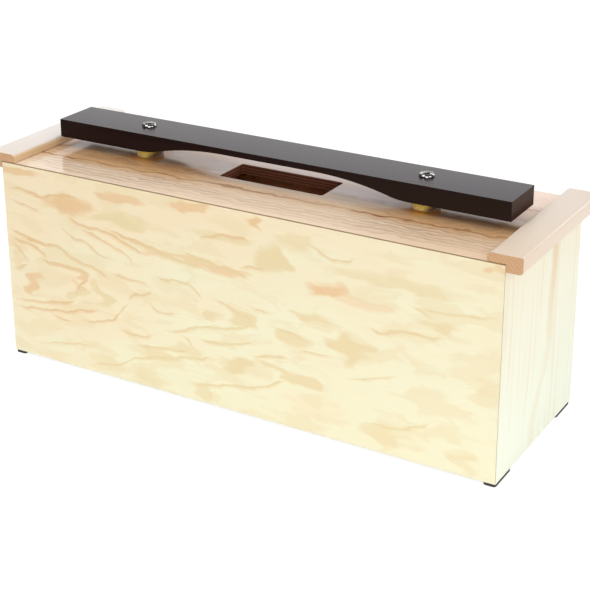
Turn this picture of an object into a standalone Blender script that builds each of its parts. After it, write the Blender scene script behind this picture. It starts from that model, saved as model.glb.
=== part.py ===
"""A resonator bar: one tuned hardwood bar on felt pads over its own plywood resonance box.

Metres, +Z up. +X runs along the bar and -Y is the front, so left and right are as seen from the front.
The origin is on the floor, below the middle of the box.
"""

import math

import bmesh
import bpy
from mathutils import Matrix, Vector

# Seats and clearances
SEAT_GAP = 0.0003  # between two pieces that touch
GLUE_LINE = 0.0003  # between two mitred edges
SHANK_CLEARANCE = 0.0003  # around the screw, all the way down
SLEEVE_CLEARANCE = 0.0008  # between a sleeve and the bar that floats on it
BAR_PLAY = 0.0008  # between the top of the resting bar and the washers

# Resonance box of mitred plywood
BOX_LENGTH = 0.635
BOX_DEPTH = 0.214
BOX_HEIGHT = 0.2437
PLY_THICKNESS = 0.012
PANEL_ARRIS = 0.0006  # softened outer edge of each panel
SOUND_HOLE_LENGTH = 0.134
SOUND_HOLE_WIDTH = 0.049
SOUND_HOLE_CORNER = 0.003
CORNER_BLOCK_LEG = 0.022
BATTEN_WIDTH = 0.036
BATTEN_THICKNESS = 0.018
BATTEN_ARRIS = 0.001

# End rails of beech
RAIL_REACH = 0.020  # over the deck, in from the end of the box
RAIL_OVERHANG = 0.018  # out from the end of the box
RAIL_RISE = 0.010  # above the deck
RAIL_DROP = 0.008  # below the deck
RAIL_INNER_RADIUS = 0.0055
RAIL_OUTER_RADIUS = 0.002
RAIL_LOWER_RADIUS = 0.004
RAIL_ARRIS = 0.0008

# Feet of rubber
FOOT_LENGTH = 0.014
FOOT_DEPTH = 0.041
FOOT_THICKNESS = 0.003
FOOT_CORNER = 0.003
FOOT_INSET_X = 0.0005
FOOT_INSET_Y = 0.001

# Tone bar of rosewood
BAR_LENGTH = 0.580
BAR_WIDTH = 0.060
BAR_THICKNESS = 0.0216
BAR_EDGE_RADIUS = 0.0022
BAR_WAIST = 0.0071  # thickness left over the level roof of the arch
ARCH_TOE = 0.0065  # from a screw to the toe of the arch
ARCH_TOE_RADIUS = 0.095
ARCH_RUN = 0.114  # along the bar, from a toe to the level roof
SCREW_SPACING = 0.361  # between the two still points of the ringing bar

# Felt pads, sleeves, washers and screws
FELT_DIAMETER = 0.032
FELT_HEIGHT = 0.0127
FELT_EDGE_RADIUS = 0.0012
FELT_BULGE = 0.0005
SLEEVE_WALL = 0.0022
WASHER_DIAMETER = 0.0175
WASHER_HEIGHT = 0.0027
WASHER_SHEET = 0.0006
WASHER_BORE_MARGIN = 0.001  # from the shank's hole to the washer's own bore
SCREW_DIAMETER = 0.005
SCREW_HEAD_DIAMETER = 0.0105
SCREW_HEAD_DOME = 0.0014
SCREW_BITE = 0.015  # thread length inside the batten
SCREW_TIP = 0.004
RECESS_SPAN = 0.0056
RECESS_BLADE = 0.0011
RECESS_DEPTH = 0.0021
RECESS_TAPER = 0.6  # size at the bottom of the recess over the size at its mouth

# Facets
TURN_STEPS = 32
HOLE_STEPS = 24
ARC_STEP_DEGREES = 15
TOE_STEPS = 6
ROOF_STEPS = 10
FELT_EDGE_STEPS = 3
SKIRT_STEPS = 5
DOME_STEPS = 6
EDGE_SEGMENTS = 3
ARRIS_SEGMENTS = 2
MITRE_TURN = 100  # degrees: the outer edges of a mitred panel turn more, its inner ones less
SQUARE_TURN = 60  # degrees: square edges turn more, the facets of a curve less
SMOOTH_TURN = 40  # degrees: facets that turn less are shaded as one surface
CUT_MARGIN = 0.002  # how far a cutter runs past what it cuts
WELD_DISTANCE = 0.000005

# Levels, from the floor up
BOX_FLOOR = FOOT_THICKNESS + SEAT_GAP
DECK_TOP = BOX_FLOOR + BOX_HEIGHT
DECK_UNDERSIDE = DECK_TOP - PLY_THICKNESS
FELT_BASE = DECK_TOP + SEAT_GAP
BAR_BASE = FELT_BASE + FELT_HEIGHT + SEAT_GAP
BAR_TOP = BAR_BASE + BAR_THICKNESS
WASHER_BASE = BAR_TOP + BAR_PLAY

# Radii that follow from one another, from the screw outwards
SCREW_RADIUS = SCREW_DIAMETER / 2
SHANK_HOLE_RADIUS = SCREW_RADIUS + SHANK_CLEARANCE
SLEEVE_RADIUS = SHANK_HOLE_RADIUS + SLEEVE_WALL
BAR_HOLE_RADIUS = SLEEVE_RADIUS + SLEEVE_CLEARANCE
FELT_HOLE_RADIUS = SLEEVE_RADIUS + SEAT_GAP
WASHER_BORE_RADIUS = SHANK_HOLE_RADIUS + WASHER_BORE_MARGIN

SIDES = {"left": -1, "right": 1}
FACES = {"front": -1, "back": 1}


def clear_scene():
    for item in list(bpy.data.objects):
        bpy.data.objects.remove(item)


def new_collection(name):
    made = bpy.data.collections.new(name)
    bpy.context.scene.collection.children.link(made)
    return made


def linear(hex_colour):
    """An sRGB hex colour as linear values with alpha."""
    channels = [int(hex_colour[i : i + 2], 16) / 255 for i in (1, 3, 5)]
    values = [c / 12.92 if c <= 0.04045 else ((c + 0.055) / 1.055) ** 2.4 for c in channels]
    return (*values, 1.0)


def new_material(name, hex_colour, roughness, metallic=0.0):
    material = bpy.data.materials.new(name)
    material.use_nodes = True
    shader = material.node_tree.nodes["Principled BSDF"]
    shader.inputs["Base Color"].default_value = linear(hex_colour)
    shader.inputs["Roughness"].default_value = roughness
    shader.inputs["Metallic"].default_value = metallic
    material.diffuse_color = linear(hex_colour)
    return material


def new_object(name, data, material):
    made = bpy.data.objects.new(name, data)
    PARTS.objects.link(made)
    data.materials.append(material)
    return made


def new_cutter(name, mesh):
    made = bpy.data.objects.new(name, mesh)
    CUTTERS.objects.link(made)
    made.hide_render = True
    made.display_type = "WIRE"
    return made


def cut(item, cutter):
    modifier = item.modifiers.new(cutter.name, "BOOLEAN")
    modifier.operation = "DIFFERENCE"
    modifier.object = cutter
    modifier.solver = "EXACT"


def soften(item, width, least_degrees, segments):
    """Rounds the edges of an object that turn by more than an angle."""
    modifier = item.modifiers.new("softened edges", "BEVEL")
    modifier.width = width
    modifier.segments = segments
    modifier.limit_method = "ANGLE"
    modifier.angle_limit = math.radians(least_degrees)


def weld(item):
    modifier = item.modifiers.new("welded caps", "WELD")
    modifier.merge_threshold = WELD_DISTANCE


def smooth(mesh):
    mesh.shade_smooth()
    mesh.set_sharp_from_angle(angle=math.radians(SMOOTH_TURN))


def block_mesh(name, size):
    mesh = bpy.data.meshes.new(name)
    shape = bmesh.new()
    bmesh.ops.create_cube(shape, size=1.0, matrix=Matrix.Diagonal((*size, 1.0)))
    shape.to_mesh(mesh)
    shape.free()
    return mesh


def cylinder_mesh(name, radius, height):
    mesh = bpy.data.meshes.new(name)
    shape = bmesh.new()
    bmesh.ops.create_cone(
        shape, cap_ends=True, segments=HOLE_STEPS, radius1=radius, radius2=radius, depth=height
    )
    shape.to_mesh(mesh)
    shape.free()
    return mesh


def rounded_outline(corners):
    """The points of a closed outline, given counter-clockwise as (x, y, radius of the corner)."""
    points = []
    for index, (x, y, radius) in enumerate(corners):
        here = Vector((x, y))
        if not radius:
            points.append(here)
            continue
        before = (Vector(corners[index - 1][:2]) - here).normalized()
        after = (Vector(corners[(index + 1) % len(corners)][:2]) - here).normalized()
        half_angle = before.angle(after) / 2
        centre = here + (before + after).normalized() * radius / math.sin(half_angle)
        start = here + before * radius / math.tan(half_angle) - centre
        turn = math.pi - 2 * half_angle
        turn *= 1 if before.cross(after) < 0 else -1
        steps = max(2, round(abs(math.degrees(turn)) / ARC_STEP_DEGREES))
        for step in range(steps + 1):
            points.append(centre + Matrix.Rotation(turn * step / steps, 2) @ start)
    return points


def rectangle(length, width, radius):
    x, y = length / 2, width / 2
    return rounded_outline([(-x, -y, radius), (x, -y, radius), (x, y, radius), (-x, y, radius)])


def outline_curve(name, points, thickness):
    """A flat outline in its own XY plane, made solid to both sides of it."""
    curve = bpy.data.curves.new(name, "CURVE")
    curve.dimensions = "2D"
    curve.fill_mode = "BOTH"
    curve.extrude = thickness / 2
    spline = curve.splines.new("POLY")
    spline.points.add(len(points) - 1)
    for target, point in zip(spline.points, points):
        target.co = (point[0], point[1], 0.0, 1.0)
    spline.use_cyclic_u = True
    return curve


def mesh_from_curve(name, curve):
    """The closed mesh of an outline curve, with its caps welded, for a piece that is cut."""
    guide = bpy.data.objects.new(name, curve)
    CUTTERS.objects.link(guide)
    bpy.context.view_layer.update()
    graph = bpy.context.evaluated_depsgraph_get()
    mesh = bpy.data.meshes.new_from_object(guide.evaluated_get(graph))
    mesh.name = name
    bpy.data.objects.remove(guide)
    shape = bmesh.new()
    shape.from_mesh(mesh)
    bmesh.ops.remove_doubles(shape, verts=shape.verts, dist=WELD_DISTANCE)
    bmesh.ops.recalc_face_normals(shape, faces=shape.faces)
    shape.to_mesh(mesh)
    shape.free()
    return mesh


def turned_object(name, profile, closed, material):
    """A turned piece. Its profile of (radius, height) runs down the outer side."""
    mesh = bpy.data.meshes.new(name)
    count = len(profile)
    edges = [(i, i + 1) for i in range(count - 1)]
    if closed:
        edges.append((count - 1, 0))
    mesh.from_pydata([(radius, 0.0, height) for radius, height in profile], edges, [])
    made = new_object(name, mesh, material)
    modifier = made.modifiers.new("turned", "SCREW")
    modifier.axis = "Z"
    modifier.angle = math.tau
    modifier.steps = TURN_STEPS
    modifier.render_steps = TURN_STEPS
    modifier.use_merge_vertices = True
    modifier.merge_threshold = WELD_DISTANCE
    modifier.use_smooth_shade = True
    return made


def quarter_arc(centre_r, centre_z, radius_r, radius_z, start_degrees, end_degrees, steps):
    points = []
    for step in range(steps + 1):
        angle = math.radians(start_degrees + (end_degrees - start_degrees) * step / steps)
        points.append((centre_r + radius_r * math.cos(angle), centre_z + radius_z * math.sin(angle)))
    return points


def panel_mesh(name, length, height):
    """A plywood panel: its outer face lies in z = 0, and its mitres draw the inner face in."""
    outer = (length - math.sqrt(2) * GLUE_LINE, height - math.sqrt(2) * GLUE_LINE)
    mesh = block_mesh(name, (*outer, PLY_THICKNESS))
    for vertex in mesh.vertices:
        if vertex.co.z < 0:
            vertex.co.x -= math.copysign(PLY_THICKNESS, vertex.co.x)
            vertex.co.y -= math.copysign(PLY_THICKNESS, vertex.co.y)
        vertex.co.z -= PLY_THICKNESS / 2
    return mesh


def add_panel(name, length, height, outward, along, centre, material):
    """A panel whose outer face points outward, with its length along another direction."""
    made = new_object(name, panel_mesh(name, length, height), material)
    normal, first = Vector(outward), Vector(along)
    second = normal.cross(first)
    made.rotation_euler = Matrix((first, second, normal)).transposed().to_euler()
    made.location = centre
    return made


def add_box_panels(material):
    middle = BOX_FLOOR + BOX_HEIGHT / 2
    for face, sign in FACES.items():
        centre = (0.0, sign * BOX_DEPTH / 2, middle)
        panel = add_panel(
            f"{face}_panel", BOX_LENGTH, BOX_HEIGHT, (0, sign, 0), (1, 0, 0), centre, material
        )
        soften(panel, PANEL_ARRIS, MITRE_TURN, ARRIS_SEGMENTS)
    for side, sign in SIDES.items():
        centre = (sign * BOX_LENGTH / 2, 0.0, middle)
        panel = add_panel(
            f"{side}_end_panel", BOX_HEIGHT, BOX_DEPTH, (sign, 0, 0), (0, 0, 1), centre, material
        )
        soften(panel, PANEL_ARRIS, MITRE_TURN, ARRIS_SEGMENTS)
    floor = add_panel(
        "bottom_panel", BOX_LENGTH, BOX_DEPTH, (0, 0, -1), (1, 0, 0), (0, 0, BOX_FLOOR), material
    )
    soften(floor, PANEL_ARRIS, MITRE_TURN, ARRIS_SEGMENTS)


def add_deck(material):
    """The top panel, with the sound hole and the two screw holes."""
    deck = add_panel(
        "top_deck", BOX_LENGTH, BOX_DEPTH, (0, 0, 1), (1, 0, 0), (0, 0, DECK_TOP), material
    )
    outline = rectangle(SOUND_HOLE_LENGTH, SOUND_HOLE_WIDTH, SOUND_HOLE_CORNER)
    depth = PLY_THICKNESS + 2 * CUT_MARGIN
    opening = mesh_from_curve("sound_hole_cutter", outline_curve("sound_hole", outline, depth))
    hole = new_cutter("sound_hole_cutter", opening)
    hole.location = (0, 0, DECK_TOP - PLY_THICKNESS / 2)
    cut(deck, hole)
    for side, sign in SIDES.items():
        cut(deck, shank_cutter(f"{side}_deck_hole_cutter", sign, DECK_UNDERSIDE, PLY_THICKNESS))
    soften(deck, PANEL_ARRIS, SQUARE_TURN, ARRIS_SEGMENTS)


def shank_cutter(name, sign, base, height):
    """A cutter for the screw's clearance hole through a piece that starts at a level."""
    mesh = cylinder_mesh(name, SHANK_HOLE_RADIUS, height + 2 * CUT_MARGIN)
    cutter = new_cutter(name, mesh)
    cutter.location = (sign * SCREW_SPACING / 2, 0, base + height / 2)
    return cutter


def add_corner_blocks(material):
    """Three-cornered blocks glued into the upright mitres."""
    inner_x = BOX_LENGTH / 2 - PLY_THICKNESS - SEAT_GAP
    inner_y = BOX_DEPTH / 2 - PLY_THICKNESS - SEAT_GAP
    height = BOX_HEIGHT - 2 * (PLY_THICKNESS + SEAT_GAP)
    for face, y_sign in FACES.items():
        for side, x_sign in SIDES.items():
            name = f"{face}_{side}_corner_block"
            corner = [(0, 0), (-x_sign * CORNER_BLOCK_LEG, 0), (0, -y_sign * CORNER_BLOCK_LEG)]
            block = new_object(name, outline_curve(name, corner, height), material)
            block.location = (x_sign * inner_x, y_sign * inner_y, BOX_FLOOR + BOX_HEIGHT / 2)


def add_battens(material):
    """Cross battens glued under the deck, which the screws bite into."""
    top = DECK_UNDERSIDE - SEAT_GAP
    length = BOX_DEPTH - 2 * (PLY_THICKNESS + CORNER_BLOCK_LEG + 2 * SEAT_GAP)
    for side, sign in SIDES.items():
        name = f"{side}_deck_batten"
        batten = new_object(name, block_mesh(name, (BATTEN_WIDTH, length, BATTEN_THICKNESS)), material)
        batten.location = (sign * SCREW_SPACING / 2, 0, top - BATTEN_THICKNESS / 2)
        soften(batten, BATTEN_ARRIS, SQUARE_TURN, 1)
        base = top - BATTEN_THICKNESS
        cut(batten, shank_cutter(f"{side}_batten_hole_cutter", sign, base, BATTEN_THICKNESS))


def rail_outline():
    """The L section of the right rail, from the top edge of the box end: x outwards, y upwards."""
    return rounded_outline(
        [
            (-RAIL_REACH, SEAT_GAP, 0),
            (SEAT_GAP, SEAT_GAP, 0),
            (SEAT_GAP, -RAIL_DROP, 0),
            (RAIL_OVERHANG, -RAIL_DROP, RAIL_LOWER_RADIUS),
            (RAIL_OVERHANG, RAIL_RISE, RAIL_OUTER_RADIUS),
            (-RAIL_REACH, RAIL_RISE, RAIL_INNER_RADIUS),
        ]
    )


def add_rails(material):
    for side, sign in SIDES.items():
        name = f"{side}_end_rail"
        rail = new_object(name, outline_curve(name, rail_outline(), BOX_DEPTH), material)
        rail.rotation_euler = (math.pi / 2, 0, 0 if sign > 0 else math.pi)
        rail.location = (sign * BOX_LENGTH / 2, 0, DECK_TOP)
        weld(rail)
        soften(rail, RAIL_ARRIS, SQUARE_TURN, ARRIS_SEGMENTS)


def add_feet(material):
    outline = rectangle(FOOT_LENGTH, FOOT_DEPTH, FOOT_CORNER)
    x = BOX_LENGTH / 2 - FOOT_INSET_X - FOOT_LENGTH / 2
    y = BOX_DEPTH / 2 - FOOT_INSET_Y - FOOT_DEPTH / 2
    for face, y_sign in FACES.items():
        for side, x_sign in SIDES.items():
            name = f"{face}_{side}_foot"
            foot = new_object(name, outline_curve(name, outline, FOOT_THICKNESS), material)
            foot.location = (x_sign * x, y_sign * y, FOOT_THICKNESS / 2)


def arch_points():
    """The underside of the bar from its right toe to its left: tight arc, wide arc, level roof."""
    depth = BAR_THICKNESS - BAR_WAIST
    sweep = 2 * math.atan2(depth, ARCH_RUN)
    roof_radius = ARCH_RUN / math.sin(sweep) - ARCH_TOE_RADIUS
    toe = SCREW_SPACING / 2 - ARCH_TOE
    right = []
    for step in range(TOE_STEPS):
        angle = sweep * step / TOE_STEPS
        rise = ARCH_TOE_RADIUS * (1 - math.cos(angle))
        right.append((toe - ARCH_TOE_RADIUS * math.sin(angle), rise))
    for step in range(ROOF_STEPS + 1):
        angle = sweep * (1 - step / ROOF_STEPS)
        fall = roof_radius * (1 - math.cos(angle))
        right.append((toe - ARCH_RUN + roof_radius * math.sin(angle), depth - fall))
    return right + [(-x, z) for x, z in reversed(right)]


def add_bar(material):
    """The tuned bar, hung below an empty that rides up and down between the pads and the washers."""
    float_axis = bpy.data.objects.new("bar_float_axis", None)
    PARTS.objects.link(float_axis)
    float_axis.location = (0, 0, BAR_BASE)
    half = BAR_LENGTH / 2
    outline = [(-half, 0), (-half, BAR_THICKNESS), (half, BAR_THICKNESS), (half, 0), *arch_points()]
    mesh = mesh_from_curve("tone_bar", outline_curve("bar_side", outline, BAR_WIDTH))
    bar = new_object("tone_bar", mesh, material)
    mesh.transform(Matrix.Rotation(math.pi / 2, 4, "X"))
    smooth(mesh)
    bar.parent = float_axis
    soften(bar, BAR_EDGE_RADIUS, SQUARE_TURN, EDGE_SEGMENTS)
    for side, sign in SIDES.items():
        height = BAR_THICKNESS + 2 * CUT_MARGIN
        hole = new_cutter(
            f"{side}_bar_hole_cutter",
            cylinder_mesh(f"{side}_bar_hole_cutter", BAR_HOLE_RADIUS, height),
        )
        hole.location = (sign * SCREW_SPACING / 2, 0, BAR_BASE + BAR_THICKNESS / 2)
        cut(bar, hole)


def felt_profile():
    """A pad's ring section, from its top outer edge, with a side that bulges under load."""
    edge = FELT_EDGE_RADIUS
    rim = FELT_DIAMETER / 2 - edge
    upper = quarter_arc(rim, FELT_HEIGHT - edge, edge, edge, 90, 0, FELT_EDGE_STEPS)
    lower = quarter_arc(rim, edge, edge, edge, 0, -90, FELT_EDGE_STEPS)
    belly = [(FELT_DIAMETER / 2 + FELT_BULGE, FELT_HEIGHT / 2)]
    return [*upper, *belly, *lower, (FELT_HOLE_RADIUS, 0.0), (FELT_HOLE_RADIUS, FELT_HEIGHT)]


def sleeve_profile():
    height = WASHER_BASE - DECK_TOP - 2 * SEAT_GAP
    return [
        (SLEEVE_RADIUS, height),
        (SLEEVE_RADIUS, 0.0),
        (SHANK_HOLE_RADIUS, 0.0),
        (SHANK_HOLE_RADIUS, height),
    ]


def washer_profile():
    """A pressed cup of even sheet: countersunk seat, crest and a rounded skirt down to the rim."""
    slope = math.sqrt(2) * WASHER_SHEET  # upright thickness of the sheet on the seat's 45 degrees
    rim = WASHER_DIAMETER / 2
    crest_out = WASHER_HEIGHT + WASHER_BORE_RADIUS
    seat_top = (crest_out - slope, WASHER_HEIGHT)
    skirt = quarter_arc(crest_out, 0.0, rim - crest_out, WASHER_HEIGHT, 90, 0, SKIRT_STEPS)
    inside = quarter_arc(
        crest_out, 0.0, rim - crest_out - WASHER_SHEET, WASHER_HEIGHT - WASHER_SHEET, 0, 90, SKIRT_STEPS
    )
    seat_under = (crest_out - WASHER_SHEET, WASHER_HEIGHT - WASHER_SHEET)
    return [
        seat_top,
        *skirt,
        *inside,
        seat_under,
        (WASHER_BORE_RADIUS, 0.0),
        (WASHER_BORE_RADIUS, slope),
    ]


def screw_profile():
    """A raised countersunk wood screw, with its axis down and the washer's base at zero."""
    seat = math.sqrt(2) * (WASHER_SHEET + SEAT_GAP) - WASHER_BORE_RADIUS
    head = SCREW_HEAD_DIAMETER / 2
    brim = head + seat
    dome_radius = (head * head + SCREW_HEAD_DOME * SCREW_HEAD_DOME) / (2 * SCREW_HEAD_DOME)
    dome_sweep = math.degrees(math.asin(head / dome_radius))
    centre = brim + SCREW_HEAD_DOME - dome_radius
    dome = quarter_arc(0.0, centre, dome_radius, dome_radius, 90, 90 - dome_sweep, DOME_STEPS)
    batten_top = DECK_UNDERSIDE - SEAT_GAP - WASHER_BASE
    end = batten_top - SCREW_BITE
    return [
        (0.0, brim + SCREW_HEAD_DOME),
        *dome[1:],
        (SCREW_RADIUS, SCREW_RADIUS + seat),
        (SCREW_RADIUS, end + SCREW_TIP),
        (0.0, end),
    ]


def recess_cutter(name, turn, sign):
    """One tapered blade of the cross recess, sunk into the crown of a screw head."""
    mesh = block_mesh(name, (RECESS_SPAN, RECESS_BLADE, RECESS_DEPTH + CUT_MARGIN))
    for vertex in mesh.vertices:
        if vertex.co.z < 0:
            vertex.co.x *= RECESS_TAPER
            vertex.co.y *= RECESS_TAPER
    cutter = new_cutter(name, mesh)
    crown = WASHER_BASE + screw_profile()[0][1]
    cutter.location = (sign * SCREW_SPACING / 2, 0, crown - (RECESS_DEPTH - CUT_MARGIN) / 2)
    cutter.rotation_euler = (0, 0, turn)
    return cutter


def add_fastening(side, sign, felt, nylon, nickel):
    """What holds the bar at one of its still points: pad, sleeve, cup washer and screw."""
    x = sign * SCREW_SPACING / 2
    pad = turned_object(f"{side}_felt_pad", felt_profile(), True, felt)
    pad.location = (x, 0, FELT_BASE)
    sleeve = turned_object(f"{side}_spacer_sleeve", sleeve_profile(), True, nylon)
    sleeve.location = (x, 0, DECK_TOP + SEAT_GAP)
    washer = turned_object(f"{side}_cup_washer", washer_profile(), True, nickel)
    washer.location = (x, 0, WASHER_BASE)
    screw = turned_object(f"{side}_bar_screw", screw_profile(), False, nickel)
    screw.location = (x, 0, WASHER_BASE)
    for blade, turn in (("first", math.pi / 4), ("second", -math.pi / 4)):
        cut(screw, recess_cutter(f"{side}_{blade}_recess_cutter", turn, sign))


clear_scene()
PARTS = new_collection("resonator_bar")
CUTTERS = new_collection("cutters")

PINE_PLY = new_material("pine plywood", "#EFDFB8", 0.45)
SPRUCE = new_material("spruce", "#E2C99A", 0.7)
BEECH = new_material("beech", "#E6D2BD", 0.4)
ROSEWOOD = new_material("rosewood", "#2A1712", 0.35)
FELT = new_material("yellow felt", "#D9B84A", 0.95)
NYLON = new_material("nylon", "#E8E4DA", 0.5)
NICKEL = new_material("nickel-plated steel", "#C9C6C0", 0.2, metallic=1.0)
RUBBER = new_material("black rubber", "#2B2A2A", 0.8)

add_box_panels(PINE_PLY)
add_deck(PINE_PLY)
add_corner_blocks(SPRUCE)
add_battens(SPRUCE)
add_rails(BEECH)
add_feet(RUBBER)
add_bar(ROSEWOOD)
for fastening_side, fastening_sign in SIDES.items():
    add_fastening(fastening_side, fastening_sign, FELT, NYLON, NICKEL)
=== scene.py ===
"""Gives a resonator bar its woods, felt, metal and rubber, and sets it on a plain bright stage.

Metres, +Z up. +X runs along the bar and -Y is the front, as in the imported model.
"""

import math

import bmesh
import bpy
from bpy.props import FloatProperty, FloatVectorProperty, IntProperty, PointerProperty
from mathutils import Matrix, Vector, noise


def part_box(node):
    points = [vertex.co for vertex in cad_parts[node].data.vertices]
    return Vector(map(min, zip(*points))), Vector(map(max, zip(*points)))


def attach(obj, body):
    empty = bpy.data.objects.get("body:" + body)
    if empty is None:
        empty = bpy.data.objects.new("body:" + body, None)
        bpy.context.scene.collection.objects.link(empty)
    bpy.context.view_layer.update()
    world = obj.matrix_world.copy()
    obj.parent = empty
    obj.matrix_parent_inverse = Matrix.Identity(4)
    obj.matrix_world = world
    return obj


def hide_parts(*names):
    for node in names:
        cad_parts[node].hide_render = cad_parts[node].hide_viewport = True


bl_info = {
    "name": "Resonator Bar Finishes",
    "version": (1, 0, 0),
    "blender": (4, 5, 0),
    "location": "3D View > Sidebar > Resonator Bar",
    "description": "Dresses a resonator bar in its woods, felt, metal and rubber on a bright stage",
    "category": "Material",
}

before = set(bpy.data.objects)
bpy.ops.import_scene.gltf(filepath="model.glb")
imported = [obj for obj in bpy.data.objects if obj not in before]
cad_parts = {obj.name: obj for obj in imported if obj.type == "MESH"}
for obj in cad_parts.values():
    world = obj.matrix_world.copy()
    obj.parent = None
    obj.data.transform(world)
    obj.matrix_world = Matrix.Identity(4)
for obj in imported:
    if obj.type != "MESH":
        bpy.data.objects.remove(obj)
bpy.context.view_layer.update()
MM = 0.001

PANEL_LOW, PANEL_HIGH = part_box("front_panel")
DECK_LOW, DECK_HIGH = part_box("top_deck")
PAD_MIDDLE = sum(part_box("right_felt_pad"), Vector()) / 2

# Patches of the front veneer in mm: middle along and up the panel, half length, half height, strength.
ORANGE_PATCHES = (
    (-291, 236, 30, 7, 0.9), (-221, 207, 38, 13, 1.0), (-150, 230, 36, 6, 0.8), (-49, 238, 30, 8, 0.9),
    (29, 235, 12, 9, 1.0), (-45, 173, 78, 5, 0.7), (122, 177, 34, 11, 0.95), (-277, 98, 12, 14, 0.9),
    (-207, 126, 14, 7, 0.8), (315, 239, 8, 7, 0.8), (164, 170, 32, 8, 0.4),
    (-306, 128, 16, 24, 0.35), (-222, 108, 8, 14, 0.45),
)
OLIVE_PATCHES = (
    (-141, 203, 42, 11, 1.0), (52, 198, 19, 18, 1.0), (92, 226, 28, 10, 0.7), (-15, 211, 44, 6, 0.6),
    (200, 202, 92, 8, 0.6), (146, 115, 21, 22, 1.0), (104, 142, 24, 9, 0.9), (256, 164, 20, 11, 0.9),
    (94, 63, 18, 10, 0.9), (8, 62, 30, 10, 1.0), (-68, 64, 22, 10, 0.6), (193, 27, 24, 17, 0.6),
    (-104, 17, 20, 10, 0.55), (-176, 20, 24, 8, 0.5), (-46, 17, 18, 11, 0.7), (-181, 107, 11, 20, 0.9),
    (-215, 99, 11, 14, 0.8), (15, 119, 18, 10, 0.9), (303, 101, 16, 15, 0.5), (284, 20, 14, 16, 0.45),
    (-30, 115, 14, 6, 0.9), (76, 111, 22, 7, 0.8), (-108, 49, 32, 7, 0.75),
)
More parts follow.
